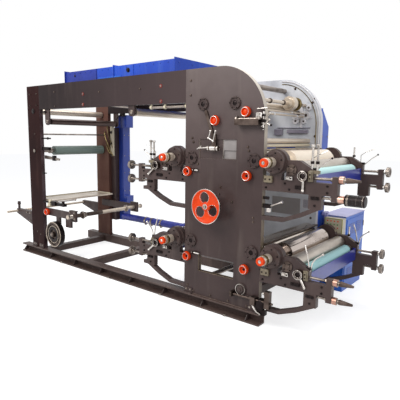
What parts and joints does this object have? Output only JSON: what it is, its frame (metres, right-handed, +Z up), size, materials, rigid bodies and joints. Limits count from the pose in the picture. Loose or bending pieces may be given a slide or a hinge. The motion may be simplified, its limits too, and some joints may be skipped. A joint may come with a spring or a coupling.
{
  "type": "cement bag printing machine",
  "caption": "Four colour stack printing machine for woven cement bags, with unwind, web rollers, drying hood and four inking stations.",
  "frame": {"origin": "on the floor under the middle of the print tower, midway between the side frames", "axes": "+X along the machine from the unwind to the print tower's outer stations, +Y from the operator side to the drive side, +Z up"},
  "size_m": [4.751, 2.04, 2.354],
  "materials": {
    "machine_paint": "satin machine enamel, warm dark grey",
    "blue_paint": "gloss blue enamel",
    "chrome_plate": "ground and chromed",
    "anilox_face": "fine engraved chrome",
    "green_rubber": "ground rubber cover, pale blue green",
    "grey_rubber": "ground rubber cover, grey green",
    "bright_steel": "turned steel",
    "orange_plastic": "moulded orange",
    "cream_steel": "bare sheet and tube, cream toned",
    "box_grey": "beige grey enamel"
  },
  "bodies": {
    "root": {"front_tower_plate": "machine_paint", "rear_tower_plate": "machine_paint", "front_top_beam": "machine_paint", "rear_top_beam": "machine_paint", "front_post": "machine_paint", "rear_post": "machine_paint", "front_base_rail": "machine_paint", "rear_base_rail": "machine_paint", "base_members": "machine_paint", "cross_ties": "bright_steel", "impression_rollers": "chrome_plate", "web_guide_rollers": "cream_steel", "roller_hangers": "machine_paint", "station_frame_1": "machine_paint", "station_frame_2": "machine_paint", "station_frame_3": "machine_paint", "station_frame_4": "machine_paint", "ink_tray_1": "blue_paint", "ink_tray_2": "blue_paint", "ink_tray_3": "blue_paint", "ink_tray_4": "blue_paint", "pressure_knobs": "orange_plastic", "unwind_arms": "machine_paint", "web_table": "cream_steel", "drying_hood": "blue_paint", "column_guard": "blue_paint", "gear_guard": "blue_paint", "electrical_cabinet": "blue_paint", "control_box": "box_grey", "line_shaft_guard": "blue_paint", "column_bracket": "machine_paint", "bearing_rings": "machine_paint", "adjusting_screws": "bright_steel", "pressure_levers": "bright_steel", "flat_bars": "bright_steel", "upper_web_rollers": "cream_steel", "unwind_gussets": "machine_paint", "operator_brackets": "bright_steel"},
    "plate_cylinder_1": {"plate_cylinder_1": "chrome_plate"},
    "anilox_roller_1": {"anilox_roller_1": "anilox_face"},
    "fountain_roller_1": {"fountain_roller_1": "green_rubber"},
    "plate_cylinder_2": {"plate_cylinder_2": "chrome_plate"},
    "anilox_roller_2": {"anilox_roller_2": "anilox_face"},
    "fountain_roller_2": {"fountain_roller_2": "green_rubber"},
    "plate_cylinder_3": {"plate_cylinder_3": "chrome_plate"},
    "anilox_roller_3": {"anilox_roller_3": "anilox_face"},
    "fountain_roller_3": {"fountain_roller_3": "green_rubber"},
    "plate_cylinder_4": {"plate_cylinder_4": "chrome_plate"},
    "anilox_roller_4": {"anilox_roller_4": "anilox_face"},
    "fountain_roller_4": {"fountain_roller_4": "green_rubber"},
    "handwheel": {"handwheel": "orange_plastic"},
    "pull_roller": {"pull_roller": "grey_rubber"},
    "unwind_shaft": {"unwind_shaft": "bright_steel"},
    "tension_wheel": {"tension_wheel": "bright_steel"}
  },
  "joints": [
    {"name": "plate_cylinder_1_turn", "type": "hinge", "parent": "root", "child": "plate_cylinder_1", "pos_m": [0.5325, 0, 0.63], "axis": [0, 1, 0], "continuous": true},
    {"name": "anilox_roller_1_turn", "type": "hinge", "parent": "root", "child": "anilox_roller_1", "pos_m": [0.67506, 0, 0.57585], "axis": [0, 1, 0], "continuous": true},
    {"name": "fountain_roller_1_turn", "type": "hinge", "parent": "root", "child": "fountain_roller_1", "pos_m": [0.78023, 0, 0.5359], "axis": [0, 1, 0], "continuous": true},
    {"name": "plate_cylinder_2_turn", "type": "hinge", "parent": "root", "child": "plate_cylinder_2", "pos_m": [0.5325, 0, 1.41], "axis": [0, 1, 0], "continuous": true},
    {"name": "anilox_roller_2_turn", "type": "hinge", "parent": "root", "child": "anilox_roller_2", "pos_m": [0.67506, 0, 1.35585], "axis": [0, 1, 0], "continuous": true},
    {"name": "fountain_roller_2_turn", "type": "hinge", "parent": "root", "child": "fountain_roller_2", "pos_m": [0.78023, 0, 1.3159], "axis": [0, 1, 0], "continuous": true},
    {"name": "plate_cylinder_3_turn", "type": "hinge", "parent": "root", "child": "plate_cylinder_3", "pos_m": [-0.5325, 0, 1.41], "axis": [0, 1, 0], "continuous": true},
    {"name": "anilox_roller_3_turn", "type": "hinge", "parent": "root", "child": "anilox_roller_3", "pos_m": [-0.67506, 0, 1.35585], "axis": [0, 1, 0], "continuous": true},
    {"name": "fountain_roller_3_turn", "type": "hinge", "parent": "root", "child": "fountain_roller_3", "pos_m": [-0.78023, 0, 1.3159], "axis": [0, 1, 0], "continuous": true},
    {"name": "plate_cylinder_4_turn", "type": "hinge", "parent": "root", "child": "plate_cylinder_4", "pos_m": [-0.5325, 0, 0.63], "axis": [0, 1, 0], "continuous": true},
    {"name": "anilox_roller_4_turn", "type": "hinge", "parent": "root", "child": "anilox_roller_4", "pos_m": [-0.67506, 0, 0.57585], "axis": [0, 1, 0], "continuous": true},
    {"name": "fountain_roller_4_turn", "type": "hinge", "parent": "root", "child": "fountain_roller_4", "pos_m": [-0.78023, 0, 0.5359], "axis": [0, 1, 0], "continuous": true},
    {"name": "handwheel_turn", "type": "hinge", "parent": "root", "child": "handwheel", "pos_m": [-0.075, -0.575, 0.995], "axis": [0, 1, 0], "continuous": true},
    {"name": "pull_roller_turn", "type": "hinge", "parent": "root", "child": "pull_roller", "pos_m": [-2.981, 0, 1.385], "axis": [0, 1, 0], "continuous": true},
    {"name": "unwind_shaft_turn", "type": "hinge", "parent": "root", "child": "unwind_shaft", "pos_m": [-2.284, 0, 0.6], "axis": [0, 1, 0], "continuous": true},
    {"name": "tension_wheel_turn", "type": "hinge", "parent": "root", "child": "tension_wheel", "pos_m": [-2.594, -0.525, 0.34], "axis": [0, 1, 0], "continuous": true}
  ],
  "couplings": [
    {"joint": "anilox_roller_1_turn", "follows": "plate_cylinder_1_turn", "ratio": -1.375},
    {"joint": "fountain_roller_1_turn", "follows": "plate_cylinder_1_turn", "ratio": 1.8333},
    {"joint": "plate_cylinder_2_turn", "follows": "plate_cylinder_1_turn", "ratio": 1},
    {"joint": "anilox_roller_2_turn", "follows": "plate_cylinder_1_turn", "ratio": -1.375},
    {"joint": "fountain_roller_2_turn", "follows": "plate_cylinder_1_turn", "ratio": 1.8333},
    {"joint": "plate_cylinder_3_turn", "follows": "plate_cylinder_1_turn", "ratio": -1},
    {"joint": "anilox_roller_3_turn", "follows": "plate_cylinder_1_turn", "ratio": 1.375},
    {"joint": "fountain_roller_3_turn", "follows": "plate_cylinder_1_turn", "ratio": -1.8333},
    {"joint": "plate_cylinder_4_turn", "follows": "plate_cylinder_1_turn", "ratio": -1},
    {"joint": "anilox_roller_4_turn", "follows": "plate_cylinder_1_turn", "ratio": 1.375},
    {"joint": "fountain_roller_4_turn", "follows": "plate_cylinder_1_turn", "ratio": -1.8333}
  ]
}
